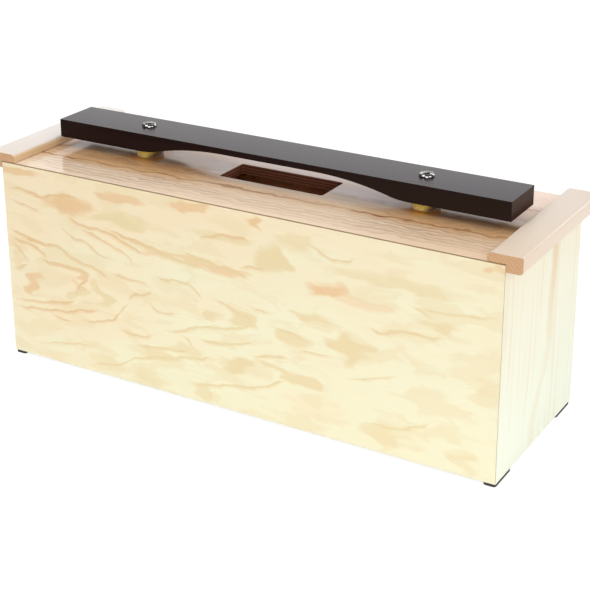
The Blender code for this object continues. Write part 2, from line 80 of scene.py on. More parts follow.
# Late-wood lines of the front veneer: strength, then points in mm along and up the panel.
RING_LINES = (
    (0.67, (-317, 215), (-293, 217), (-278, 215), (-261, 212), (-249, 216), (-234, 219), (-219, 221),
     (-195, 218)),
    (0.51, (-317, 201), (-298, 200), (-288, 198), (-273, 195), (-256, 191)),
    (0.67, (-226, 197), (-217, 192), (-207, 189), (-193, 187), (-180, 188), (-156, 184), (-141, 177),
     (-125, 173), (-105, 167)),
    (0.75, (-178, 193), (-146, 187), (-135, 184), (-115, 181), (-98, 178), (-78, 173), (-59, 173),
     (-49, 171), (-37, 165)),
    (0.71, (-64, 184), (-54, 182), (-39, 179), (-24, 178), (-12, 175), (0, 174), (15, 173), (27, 166)),
    (0.55, (-219, 184), (-197, 181), (-185, 179), (-171, 175), (-156, 169), (-146, 167), (-134, 158),
     (-128, 147)),
    (0.59, (-240, 184), (-222, 173), (-215, 169), (-205, 169), (-195, 166), (-181, 158), (-174, 155),
     (-148, 154)),
    (0.67, (-317, 164), (-298, 160), (-278, 155), (-256, 153), (-249, 155), (-241, 155), (-234, 152),
     (-220, 143), (-210, 142), (-198, 140), (-187, 137), (-176, 134), (-162, 128)),
    (0.71, (-317, 154), (-298, 151), (-286, 150), (-278, 148), (-269, 145), (-261, 140), (-256, 135)),
    (0.71, (-275, 133), (-256, 132), (-222, 131), (-210, 131), (-202, 129), (-196, 124)),
    (0.63, (-222, 90), (-218, 99), (-216, 107), (-207, 115), (-199, 121), (-195, 128)),
    (0.63, (-317, 72), (-293, 74), (-263, 79), (-237, 84), (-227, 86), (-217, 92)),
    (0.63, (-314, 148), (-302, 142), (-296, 136), (-290, 130), (-283, 126)),
    (0.59, (-317, 112), (-302, 116), (-293, 120), (-283, 126)),
    (0.63, (-317, 64), (-293, 65), (-273, 68), (-249, 71), (-234, 72), (-224, 75), (-215, 79), (-195, 82),
     (-183, 88)),
    (0.59, (-261, 65), (-244, 63), (-234, 62), (-217, 64)),
    (0.59, (-168, 137), (-156, 137), (-146, 136), (-127, 135), (-117, 134), (-107, 130)),
    (0.59, (-144, 104), (-139, 112), (-133, 117), (-117, 120), (-110, 124), (-105, 132)),
    (0.63, (-215, 66), (-195, 68), (-180, 72), (-168, 77), (-159, 82), (-153, 91), (-148, 98),
     (-139, 105)),
    (0.63, (-107, 148), (-93, 145), (-83, 145), (-73, 147), (-57, 146), (-49, 142), (-43, 137),
     (-37, 132)),
    (0.55, (-31, 136), (-12, 134), (0, 129), (12, 126), (21, 122), (29, 116)),
    (0.63, (-93, 81), (-73, 85), (-59, 91), (-44, 96), (-29, 100), (-12, 103), (5, 106), (18, 111),
     (27, 117)),
    (0.59, (-156, 69), (-146, 67), (-137, 66), (-125, 66), (-115, 68), (-101, 76)),
    (0.63, (-135, 53), (-117, 55), (-98, 58), (-83, 60), (-68, 62), (-54, 68)),
    (0.59, (-205, 11), (-185, 17), (-161, 21), (-148, 27), (-137, 37), (-117, 41), (-68, 53), (-39, 59),
     (-10, 64)),
    (0.63, (-60, 25), (-44, 26), (-24, 29), (0, 36), (20, 38), (34, 41), (44, 46), (59, 54), (73, 62)),
    (0.67, (-51, 82), (-34, 82), (-20, 83), (-5, 86), (10, 89), (21, 93), (37, 94)),
    (0.67, (20, 79), (37, 81), (49, 84), (63, 86), (80, 88)),
    (0.55, (78, 95), (93, 100), (112, 101), (137, 102)),
    (0.59, (25, 78), (41, 74), (54, 72), (68, 70), (78, 68)),
    (0.59, (12, 177), (21, 183), (34, 185), (54, 187)),
    (0.55, (16, 140), (29, 136), (41, 135), (57, 136)),
    (0.55, (47, 119), (59, 118), (78, 117), (86, 115), (94, 111)),
    (0.59, (93, 229), (105, 222), (112, 218), (122, 214), (129, 212), (146, 215), (156, 222)),
    (0.63, (-41, 203), (-34, 206), (-24, 210), (-10, 214), (15, 215), (31, 214)),
    (0.63, (166, 147), (178, 143), (187, 144), (200, 148), (215, 151), (244, 151), (263, 155)),
    (0.59, (213, 183), (226, 179), (234, 176), (246, 171)),
    (0.55, (213, 181), (239, 181), (273, 184), (293, 186), (317, 188)),
    (0.55, (137, 79), (161, 84), (176, 89), (190, 94), (211, 98)),
    (0.55, (-114, 118), (-107, 107), (-101, 103), (-85, 104), (-65, 109)),
    (0.55, (-72, 82), (-62, 78), (-54, 73), (-48, 65)),
    (0.51, (-296, 19), (-250, 28), (-212, 36), (-182, 42)),
    (0.59, (162, 32), (180, 36), (195, 37), (210, 39), (222, 44), (234, 49), (250, 59)),
)
# Late wood of the deck: mm from its middle, and how strongly it shows there.
DECK_YEARS = (
    (0, 0.05), (7, 0.1), (12, 0.4), (17, 0.62), (23, 0.52), (27, 0.36), (31, 0.55), (36, 0.4),
    (40, 0.28), (43, 0.55), (45, 0.2), (47, 0.25), (49, 0.95), (51, 0.95), (53, 0.2), (55, 0.38),
    (57, 0.02), (61, 0.52), (63, 0.02), (68, 0.46), (70, 0.0), (75, 0.5), (77, 0.0), (82, 0.4),
    (84, 0.0), (90, 0.4), (92, 0.0), (98, 0.25), (100, 0.0),
)
# Length in mm that the years of the deck are spread over.
DECK_SPAN = 110
# Middle of the pale stretch of the deck, along X.
PALE_MIDDLE = 25 * MM
# How far above its middle a ring line of full strength shows. It shows twice as far below.
LINE_REACH = 3.6 * MM
# How steeply the painted shade on the felt thins out with height, per metre.
SHADE_SLOPE = 60.0
# Edges that turn more than this stay sharp.
SHARP_FROM = math.radians(50)
# Gap that touching pieces keep.
FIT_GAP = 0.3 * MM
# Steps round a felt pad's edge and rows up its side.
EDGE_STEPS = 8
SIDE_ROWS = 22

WHITE = (1.0, 1.0, 1.0, 1.0)
SENSOR_WIDTH = 36.0
FLOOR_CORNERS = ((-3, -0.65), (3, -0.65), (3, 4), (-3, 4))
FLOOR_LEVEL = -0.2 * MM
LAMP_TARGET = Vector((0, 0, 0.12))


def linear(hex_colour):
    """An sRGB hex colour as linear red, green, blue and a full alpha."""
    values = [int(hex_colour[i:i + 2], 16) / 255 for i in (1, 3, 5)]
    curved = [v / 12.92 if v <= 0.04045 else ((v + 0.055) / 1.055) ** 2.4 for v in values]
    return (*curved, 1.0)


def tint(name, description, hex_colour):
    """A colour that the user can change."""
    return FloatVectorProperty(
        name=name, description=description, subtype="COLOR", size=4, min=0, max=1,
        default=linear(hex_colour))


def length(name, description, metres):
    """A size that the user can change."""
    return FloatProperty(
        name=name, description=description, unit="LENGTH", subtype="DISTANCE", precision=4,
        default=metres)


def share(name, description, value):
    """A plain number from 0 to 1 that the user can change."""
    return FloatProperty(
        name=name, description=description, subtype="FACTOR", min=0, max=1, default=value)


class PineFigure(bpy.types.PropertyGroup):
    """Rotary-cut veneer of the front and back panels."""

    cream: tint("Cream", "Early wood at the left and high up", "#F9E6C2")
    pale: tint("Pale", "Early wood at the right and low down", "#F6F0CF")
    orange: tint("Orange", "Strong patches of late wood", "#EECA9A")
    olive: tint("Olive", "Soft patches of late wood", "#EDDAAC")
    orange_line: tint("Orange line", "Ring lines at the left and high up", "#EAC694")
    olive_line: tint("Olive line", "Ring lines elsewhere", "#EBDAA9")
    inner: tint("Inner", "Bare veneer inside the box", "#F6A672")
    mitre: tint("Mitre", "Sawn edge at the top", "#AE9168")
    flame_length: length("Flame length", "Length of one scallop on a ring's edge", 40 * MM)
    flame_height: length("Flame height", "Height of one scallop on a ring's edge", 18 * MM)
    mitre_height: length("Mitre height", "Height of the sawn edge at the top", 0.7 * MM)
    skin: length("Skin", "Depth of a panel that counts as its outside", 5 * MM)


class PlainPine(bpy.types.PropertyGroup):
    """Straight-grained veneer of the ends, the bottom and the deck."""

    cream: tint("Cream", "Early wood of the ends, high up", "#F5EED6")
    pale: tint("Pale", "Early wood of the ends, low down", "#F6FAE6")
    streak: tint("Streak", "Warm streak and rings in the ends", "#E9CFA6")
    deck: tint("Deck", "Early wood of the deck, near its front", "#F8E0C4")
    deck_heart: tint("Deck heart", "Plain wood from the middle of the deck to its back", "#FAE3DC")
    deck_belt: tint("Deck belt", "Early wood where the lines are strong", "#E8BC8A")
    deck_line: tint("Deck line", "Late wood of the deck", "#8C4C26")
    # Painted shadow and reflection of the felt pads, on the deck round each pad.
    deck_pad_shade_and_reflection: tint("Deck pad shade", "Wood round the felt pads", "#DC8810")
    ply_dark: tint("Dark ply", "End grain of the plies in the sound hole", "#5E2C1A")
    ply_pale: tint("Pale ply", "Long grain of the plies in the sound hole", "#A06242")
    ring: length("Ring", "From one ring line to the next on the ends", 14 * MM)
    layer: length("Layer", "Thickness of one ply", 12 * MM / 7)


class SolidWoods(bpy.types.PropertyGroup):
    """Beech of the rails, spruce inside the box and rosewood of the bar."""

    beech: tint("Beech", "Planed side of the left rail", "#E8DCD1")
    beech_right: tint("Right beech", "Planed side of the right rail, from a browner board", "#DECAB3")
    # Also painted sheen on the rails towards their back.
    beech_sap_and_sheen: tint("Beech sapwood", "Paler wood at the back of the rails", "#F4EFEB")
    beech_line: tint("Beech line", "Ring lines of the rails", "#EAD2B8")
    beech_fleck: tint("Beech fleck", "Short rays on the rails", "#B98A62")
    # Also painted shade on the step towards the deck.
    beech_heart_and_shade: tint("Beech heart", "Heart side of the rails", "#E3BC88")
    beech_end: tint("Beech end", "End grain of the rails", "#C38F72")
    spruce: tint("Spruce", "Early wood of the blocks and battens", "#E6CFA2")
    spruce_line: tint("Spruce line", "Late wood of the blocks and battens", "#B98A52")
    rosewood: tint("Rosewood", "Ground colour of the bar", "#22110F")
    rosewood_right: tint("Rosewood right", "Browner ground at the right of the bar", "#261A16")
    # Painted shade on the rounded edges of the bar.
    rosewood_edge_shade: tint("Rosewood edge", "Rounded edges of the bar, dark with oil", "#0C0606")
    rosewood_line: tint("Rosewood line", "Dark lines of the bar", "#160A09")
    # Painted sheen on the top of the bar, at its back and at its front.
    rosewood_top_sheen: tint("Rosewood top", "Burnished top of the bar, at its back", "#453D43")
    rosewood_near_sheen: tint("Rosewood near", "Burnished top of the bar, at its front", "#2A1C27")
    rosewood_end: tint("Rosewood end", "End grain of the bar", "#331B11")
    beech_ring: length("Beech ring", "From one ring line to the next on the rails", 5 * MM)
    spruce_ring: length("Spruce ring", "From one ring line to the next inside the box", 3 * MM)
    rosewood_ring: length("Rosewood ring", "From one dark line to the next on the bar", 4 * MM)


class SmallParts(bpy.types.PropertyGroup):
    """Felt, nickel, nylon and rubber."""

    felt: tint("Felt", "Dyed wool", "#FFE27A")
    felt_deep: tint("Felt deep", "Hollows between the fibres", "#EEC84C")
    # Painted shade on the right side of the pads.
    felt_shade: tint("Felt shade", "Oiled side of the pads", "#5E3816")
    felt_edge: length("Felt edge", "Rounding of the cut edge", 1.5 * MM)
    felt_relief: length("Felt relief", "Height of the tufts on the cut side", 0.35 * MM)
    felt_waist: length("Felt waist", "How far the cut side draws in at its top and bottom", 0.4 * MM)
    felt_around: IntProperty(name="Felt steps", description="Faces round a pad", min=32, default=160)
    nickel: tint("Nickel", "Bright plate", "#C9C7C4")
    nickel_worn: tint("Worn nickel", "Where the plate has dulled", "#B5B0A6")
    nylon: tint("Nylon", "Natural nylon tube", "#E8E3D8")
    rubber: tint("Rubber", "Cut sheet", "#2C2A2A")
    rubber_dust: tint("Rubber dust", "Dust on the feet", "#8C8882")


class BrightStage(bpy.types.PropertyGroup):
    """Camera, lamps and floor."""

    place: FloatVectorProperty(
        name="Camera place", description="Where the camera stands", subtype="TRANSLATION",
        unit="LENGTH", default=(0.8077, -1.3373, 0.7917))
    turn: FloatProperty(
        name="Camera turn", description="How far right of the front the camera stands",
        subtype="ANGLE", default=math.radians(30.5556))
    tilt: FloatProperty(
        name="Camera tilt", description="How far the camera looks down", subtype="ANGLE",
        default=math.radians(19.7499))
    roll: FloatProperty(
        name="Camera roll", description="Lean of the horizon", subtype="ANGLE",
        default=math.radians(-0.2147))
    lens: FloatProperty(
        name="Lens", description="Focal length on a 36 mm sensor", unit="CAMERA", default=89.42)
    shift: FloatProperty(
        name="Shift", description="Rise or fall of the picture, in picture heights", default=-0.1741)
    floor: tint("Floor", "Paper under the object", "#F2F2F2")
    paper_shade: share("Paper shade", "How much of the light that falls on the paper shows", 0.28)
    paper_glow: share("Paper glow", "How bright the paper shows by itself", 0.82)
    sky_front: share("Sky front", "Soft light from before the object", 0.3)
    sky_back: share("Sky back", "Soft light from the backdrop", 0.7)
    front_glow: share("Front glow", "How bright a mirror finds the studio round the backdrop", 0.1)
    ceiling_glow: share("Ceiling glow", "How bright a mirror finds the ceiling", 0.06)
    left_power: FloatProperty(
        name="Left power", description="Soft box at the front left", unit="POWER", default=34.0)
    right_power: FloatProperty(
        name="Right power", description="Soft box at the right", unit="POWER", default=14.0)
    front_power: FloatProperty(
        name="Front power", description="Soft box beside the camera", unit="POWER", default=16.0)
    back_power: FloatProperty(
        name="Back power", description="Soft box behind the right end", unit="POWER", default=18.0)
    box_size: length("Soft box size", "Side of each soft box", 1.4)


def feed(node, inputs):
    """Sets a node's inputs, by name or in their order. Each is a value or the output that feeds it."""
    for key, value in (inputs.items() if isinstance(inputs, dict) else enumerate(inputs)):
        if isinstance(value, bpy.types.NodeSocket):
            node.id_data.links.new(value, node.inputs[key])
        else:
            node.inputs[key].default_value = value


def add(tree, kind, inputs=(), stops=(), out=None, **settings):
    """Adds a node with its settings and links, and gives the output of that name or else the first in use.

    A shader node's kind goes without its prefix. The stops of a colour ramp are each a place, a grey value
    and, where it isn't 1, an alpha.
    """
    made = tree.nodes.new(kind if "Node" in kind else "ShaderNode" + kind)
    for name, value in settings.items():
        setattr(made, name, value)
    feed(made, inputs)
    for place, *_ in stops[2:]:
        made.color_ramp.elements.new(place)
    for mark, (place, value, *alpha) in zip(made.color_ramp.elements if stops else (), stops):
        mark.position = place
        mark.color = (value, value, value, *(alpha or [1.0]))
    if out:
        return made.outputs[out]
    return next((output for output in made.outputs if output.enabled), None)


def new_finish(name):
    """An empty material: itself, its nodes and its shader."""
    material = bpy.data.materials.new(name)
    material.use_nodes = True
    return material, material.node_tree, material.node_tree.nodes["Principled BSDF"]


def grain_frame(tree, axes):
    """Place on a piece in metres, then its distances along the grain, across it and into it."""
    spot = add(tree, "TexCoord", out="Object")
    split = add(tree, "SeparateXYZ", (spot,)).node
    parts = [split.outputs[axis] for axis in axes]
    return add(tree, "CombineXYZ", parts), *parts


def facing(tree):
    """The way a face looks: its shares along X, Y and Z."""
    normal = add(tree, "TexCoord", out="Normal")
    return add(tree, "SeparateXYZ", (normal,)).node.outputs


def stretched_noise(tree, place, along, across, detail=2.0, shift=0.0, out="Fac"):
    """Soft noise from 0 to 1 whose features are that long and that wide, in metres."""
    scaled = add(tree, "Mapping", {
        "Vector": place, "Location": (shift, shift, shift), "Scale": (1 / along, 1 / across, 1 / across)})
    return add(tree, "TexNoise", {"Vector": scaled, "Scale": 1.0, "Detail": detail}, out=out)


def swayed(tree, place, along, across, reach, shift):
    """Place moved about by soft noise of that length and width, by up to about a quarter of reach."""
    sway = stretched_noise(tree, place, along, across, detail=1.0, shift=shift, out="Color")
    even = add(tree, "VectorMath", (sway, (0.5, 0.5, 0.5)), operation="SUBTRACT")
    return add(tree, "VectorMath", (even, reach, place), operation="MULTIPLY_ADD")


def ring_lines(tree, place, far, spacing, wander, along, across):
    """Saw-tooth over the distance far, 0 where a year starts and 1 where it ends, with wandering edges."""
    drift = stretched_noise(tree, place, along, across)
    base = add(tree, "Math", (far, 1 / spacing), operation="MULTIPLY")
    bent = add(tree, "Math", (drift, wander, base), operation="MULTIPLY_ADD")
    return add(tree, "Math", (bent,), operation="FRACT")


def layered(tree, ground, *coats):
    """A ground colour under coats, each an amount from 0 to 1 and a colour, with the last on top."""
    for amount, colour in coats:
        ground = add(tree, "Mix", {0: amount, 6: ground, 7: colour}, data_type="RGBA")
    return ground


def traced_rings(tree, place):
    """How strongly the late-wood lines of the front veneer show at a place."""
    # Each line is sharp above, where growth stopped for the winter, and fades out below.
    traced = swayed(tree, place, 16 * MM, 8 * MM, (10 * MM, 6 * MM, 0.0), 5.9)
    along, up, _ = add(tree, "SeparateXYZ", (traced,)).node.outputs
    along = add(tree, "MapRange", (along, -PANEL_HIGH.x, PANEL_HIGH.x))
    most = 0.0
    for strength, *points in RING_LINES:
        ends = (points[0], points[-1])
        ring = add(tree, "ValToRGB", (along,), stops=[
            ((x * MM / PANEL_HIGH.x + 1) / 2, z * MM / PANEL_HIGH.z, 0.0 if (x, z) in ends else strength)
            for x, z in points]).node
        above = add(tree, "Math", (ring.outputs["Color"], -PANEL_HIGH.z, up), operation="MULTIPLY_ADD")
        below = add(tree, "Math", (above, -0.5), operation="MULTIPLY")
        off = add(tree, "Math", (above, below), operation="MAXIMUM")
        line = add(tree, "Math", (off, -1 / LINE_REACH, ring.outputs["Alpha"]), operation="MULTIPLY_ADD")
        most = add(tree, "Math", (line, most), operation="MAXIMUM")
    return add(tree, "ValToRGB", (most,), stops=[
        (0.0, 0.0), (0.05, 0.22), (0.3, 0.3), (0.42, 0.85), (0.7, 1.0)])


def soft_patches(tree, place, patches):
    """How strongly a set of oval patches shows at a place."""
    most = 0.0
    for x, z, half_length, half_height, strength in patches:
        offset = add(tree, "VectorMath", (place, (x * MM, z * MM, 0.0)), operation="SUBTRACT")
        size = (1 / (half_length * MM), 1 / (half_height * MM), 0.0)
        shape = add(tree, "VectorMath", (offset, size), operation="MULTIPLY")
        away = add(tree, "VectorMath", (shape,), operation="LENGTH")
        patch = add(tree, "MapRange", (away, 1.15, 0.55, 0.0, strength), interpolation_type="SMOOTHSTEP")
        most = add(tree, "Math", (patch, most), operation="MAXIMUM")
    return most


def rotary_cut_pine(pine):
    """Rotary-cut pine veneer, sanded and lacquered."""
    # The knife peels the trunk, so its rings lie nearly flat in the sheet. Where they dip through it they
    # show as nested flames, and where they only graze it as soft patches with scalloped edges.
    material, tree, shader = new_finish("pine_rotary_cut_lacquered")
    place, along, up, into = grain_frame(tree, "XZY")
    wavy = swayed(tree, place, pine.flame_length, pine.flame_height, (70 * MM, 16 * MM, 0.0), 7.7)
    ragged = swayed(tree, wavy, 22 * MM, 9 * MM, (26 * MM, 10 * MM, 0.0), 2.3)

    # The wood is warmer high up and at the left.
    warmth = stretched_noise(tree, place, 140 * MM, 60 * MM, shift=5.2)
    high = add(tree, "Math", (up, 1.8, warmth), operation="MULTIPLY_ADD")
    left = add(tree, "Math", (along, -0.6, high), operation="MULTIPLY_ADD")
    warm = add(tree, "MapRange", (left, 0.55, 1.05))
    mottle = stretched_noise(tree, ragged, 52 * MM, 20 * MM, shift=0.6)
    mottled = add(tree, "MapRange", (mottle, 0.48, 0.62, 0.0, 0.4), interpolation_type="SMOOTHSTEP")
    line = layered(tree, pine.olive_line, (warm, pine.orange_line))

    # Inside the box the veneer is bare.
    depth = add(tree, "Math", (into,), operation="ABSOLUTE")
    inside = add(tree, "Math", (depth, -PANEL_LOW.y - pine.skin), operation="LESS_THAN")
    # The mitre at the top drinks the lacquer and shows as a thin brown line.
    mitre = add(tree, "Math", (up, PANEL_HIGH.z - pine.mitre_height), operation="GREATER_THAN")
    figure = layered(
        tree, pine.pale,
        (warm, pine.cream),
        (mottled, pine.olive),
        (soft_patches(tree, ragged, OLIVE_PATCHES), pine.olive),
        (soft_patches(tree, ragged, ORANGE_PATCHES), pine.orange),
        (traced_rings(tree, place), line),
        (inside, pine.inner),
        (mitre, pine.mitre))

    # The fibres are 0.1 mm wide; they are drawn at 0.6 mm to show.
    fibre = stretched_noise(tree, place, 30 * MM, 0.6 * MM, detail=3.0)
    tone = add(tree, "MapRange", (fibre, 0.25, 0.75, 0.975, 1.015))
    shade = add(tree, "VectorMath", {0: figure, "Scale": tone}, operation="SCALE")
    gloss = add(tree, "MapRange", (fibre, 0.0, 1.0, 0.42, 0.56))
    relief = add(tree, "Bump", {"Strength": 0.25, "Distance": 0.05 * MM, "Height": fibre})
    feed(shader, {"Base Color": shade, "Roughness": gloss, "Normal": relief})
    return material


def straight_pine(pine, name, axes):
    """Straight-grained pine veneer, sanded and lacquered."""
    # Nearly quarter-cut, so the rings are faint straight lines. One warm streak beside the heart runs
    # down from the top and swings aside round a knot lower in the sheet.
    material, tree, shader = new_finish(name)
    place, along, across, _ = grain_frame(tree, axes)
    saw = ring_lines(tree, place, across, pine.ring, 2.4, 260 * MM, 30 * MM)
    late = add(tree, "ValToRGB", (saw,), stops=[
        (0.0, 0.5), (0.1, 0.0), (0.5, 0.05), (0.9, 0.7), (1.0, 0.8)])
    patch = stretched_noise(tree, place, 180 * MM, 24 * MM, shift=6.6)
    heavy = add(tree, "MapRange", (patch, 0.45, 0.7, 0.06, 0.5))
    faint = add(tree, "Math", (late, heavy), operation="MULTIPLY")
    swing = add(tree, "MapRange", (along, 120 * MM, 20 * MM, -28 * MM, 12 * MM),
                interpolation_type="SMOOTHSTEP")
    away = add(tree, "Math", (across, swing), operation="ADD")
    sway = stretched_noise(tree, place, 60 * MM, 40 * MM, shift=2.0)
    swung = add(tree, "Math", (sway, 14 * MM, away), operation="MULTIPLY_ADD")
    even = add(tree, "Math", (swung, 7 * MM), operation="SUBTRACT")
    off = add(tree, "Math", (even,), operation="ABSOLUTE")
    near = add(tree, "MapRange", (off, 13 * MM, 4 * MM), interpolation_type="SMOOTHSTEP")
    high = add(tree, "MapRange", (along, 100 * MM, 220 * MM, 0.22, 0.8))
    streak = add(tree, "Math", (near, high), operation="MULTIPLY")
    both = add(tree, "Math", (streak, faint), operation="MAXIMUM")
    fresh = add(tree, "MapRange", (along, 40 * MM, 230 * MM))
    figure = layered(tree, pine.pale, (fresh, pine.cream), (both, pine.streak))
    # Fibres drawn at 0.7 mm, about seven times as coarse as real ones, to show.
    fibre = stretched_noise(tree, place, 40 * MM, 0.7 * MM, detail=3.0)
    tone = add(tree, "MapRange", (fibre, 0.25, 0.75, 0.97, 1.01))
    shade = add(tree, "VectorMath", {0: figure, "Scale": tone}, operation="SCALE")
    gloss = add(tree, "MapRange", (fibre, 0.0, 1.0, 0.42, 0.56))
    relief = add(tree, "Bump", {"Strength": 0.25, "Distance": 0.05 * MM, "Height": fibre})
    feed(shader, {"Base Color": shade, "Roughness": gloss, "Normal": relief})
    return material


def deck_figure(tree, pine, place, along, across, outer):
    """Colour of the deck's veneer under its lacquer, with a painted shadow and reflection round each pad.
    """
    # Years from the heart line outwards: a belt of strong late wood, then fine lines. They lean a little
    # across the deck, and beside the sound hole the belt is pale.
    fine = swayed(tree, place, 17 * MM, 9 * MM, (0.0, 10 * MM, 0.0), 3.7)
    fine = add(tree, "SeparateXYZ", (fine,), out="Y")
    ripple = stretched_noise(tree, place, 26 * MM, 18 * MM, detail=1.5, shift=8.1)
    ripple = add(tree, "MapRange", (ripple, 0.0, 1.0, -17 * MM, 17 * MM))
    # Lines near the front edge run straighter.
    wild = add(tree, "MapRange", (across, -50 * MM, -34 * MM, 0.3, 1.0))
    rippled = add(tree, "Math", (ripple, wild, fine), operation="MULTIPLY_ADD")
    side = add(tree, "Math", (rippled,), operation="ABSOLUTE")
    lean = add(tree, "Math", (along, 0.024, side), operation="MULTIPLY_ADD")
    years = add(tree, "MapRange", (lean, 0.0, DECK_SPAN * MM))
    amount = add(tree, "ValToRGB", (years,), stops=[
        (distance / DECK_SPAN, value) for distance, value in DECK_YEARS])

    # The lines come and go along the deck, and are faint behind its middle.
    patch = stretched_noise(tree, place, 120 * MM, 18 * MM, shift=6.1)
    heavy = add(tree, "MapRange", (patch, 0.35, 0.6, 0.45, 1.0))
    strong = add(tree, "MapRange", (outer, 0.0, 1.0, 0.75, 0.95))
    kept = add(tree, "MapRange", (outer, 0.0, 1.0, 0.2, 0.5))
    front = add(tree, "MapRange", (across, 8 * MM, -8 * MM, kept, 1.0))
    for part in (heavy, strong, front):
        amount = add(tree, "Math", (amount, part), operation="MULTIPLY")

    browner = add(tree, "MapRange", (along, 130 * MM, 230 * MM, 0.0, 0.3))
    early = layered(tree, pine.deck, (browner, pine.deck_belt))
    tanned = add(tree, "MapRange", (outer, 0.0, 1.0, 0.45, 1.0))
    belt = layered(tree, pine.deck, (tanned, pine.deck_belt))
    tawny = add(tree, "MapRange", (outer, 0.0, 1.0, 0.0, 0.7))
    heart = layered(tree, pine.deck_heart, (tawny, pine.deck_belt))
    beyond = add(tree, "MapRange", (years, 0.46, 0.62))
    within = add(tree, "MapRange", (years, 0.18, 0.1))
    ground = layered(tree, belt, (beyond, early), (within, heart))

    # Painted shadow and reflection of each felt pad: a gold-brown ring on the wood round it.
    apart = add(tree, "Math", (along,), operation="ABSOLUTE")
    apart = add(tree, "Math", (apart, PAD_MIDDLE.x), operation="SUBTRACT")
    spot = add(tree, "CombineXYZ", (apart, across))
    away = add(tree, "VectorMath", (spot,), operation="LENGTH")
    painted_pad_halo = add(tree, "MapRange", (away, 32 * MM, 20 * MM, 0.0, 0.75), interpolation_type="SMOOTHSTEP")
    return layered(
        tree, pine.deck_heart, (front, ground), (amount, pine.deck_line), (painted_pad_halo, pine.deck_pad_shade_and_reflection))


def lacquered_deck(pine):
    """Pine plywood deck, glossy lacquer on top, sawn plies in the sound hole."""
    # Wavy brown lines run the length of the deck under a gloss that mirrors the bar and the pads.
    # The saw leaves the plies bare in the hole: end grain drinks the light, long grain stays paler.
    material, tree, shader = new_finish("pine_plywood_gloss_lacquered")
    place, along, across, height = grain_frame(tree, "XYZ")
    # The figure is strong to both sides of a pale stretch at the hole, and worn where the rails begin.
    aside = add(tree, "Math", (along, PALE_MIDDLE), operation="SUBTRACT")
    aside = add(tree, "Math", (aside,), operation="ABSOLUTE")
    outer = add(tree, "MapRange", (aside, 75 * MM, 150 * MM), interpolation_type="SMOOTHSTEP")
    worn = add(tree, "MapRange", (aside, 270 * MM, 305 * MM, 1.0, 0.35))
    outer = add(tree, "Math", (outer, worn), operation="MULTIPLY")
    figure = deck_figure(tree, pine, place, along, across, outer)

    # Fibres drawn at 0.7 mm, as on the ends.
    fibre = stretched_noise(tree, place, 40 * MM, 0.7 * MM, detail=3.0)
    tone = add(tree, "MapRange", (fibre, 0.25, 0.75, 0.93, 1.04))
    # Painted shadow of the bar: the deck is darker in a strip in front of the bar's edge, and most in
    # front of the hole.
    near = add(tree, "MapRange", (across, -40 * MM, 10 * MM))
    beside = add(tree, "ValToRGB", (near,), stops=[(0.0, 1.0), (0.4, 0.82), (0.62, 0.82), (0.78, 1.0)])
    before = add(tree, "ValToRGB", (near,), stops=[
        (0.0, 1.04), (0.16, 0.8), (0.3, 0.62), (0.45, 0.76), (0.62, 0.82), (0.78, 1.0)])
    painted_bar_shadow = layered(tree, before, (outer, beside))
    tone = add(tree, "Math", (tone, painted_bar_shadow), operation="MULTIPLY")
    top = add(tree, "VectorMath", {0: figure, "Scale": tone}, operation="SCALE")

    steep = add(tree, "Math", (facing(tree)["Z"],), operation="ABSOLUTE")
    wall = add(tree, "Math", (steep, 0.5), operation="LESS_THAN")
    level = add(tree, "Math", (height, 1 / pine.layer, -DECK_LOW.z / pine.layer),
                operation="MULTIPLY_ADD")
    pair = add(tree, "Math", (level, 0.5), operation="MULTIPLY")
    turn = add(tree, "Math", (pair,), operation="FRACT")
    ply = add(tree, "ValToRGB", (turn,), stops=[
        (0.0, 0.2), (0.06, 0.9), (0.46, 0.8), (0.52, 0.05), (0.96, 0.15)])
    cut = layered(tree, pine.ply_dark, (ply, pine.ply_pale))
    gloss = add(tree, "MapRange", (wall, 0.0, 1.0, 0.12, 0.75))
    relief = add(tree, "Bump", {"Strength": 0.1, "Distance": 0.02 * MM, "Height": fibre})
    feed(shader, {
        "Base Color": layered(tree, top, (wall, cut)), "Roughness": gloss, "IOR": 1.5, "Normal": relief})
    return material


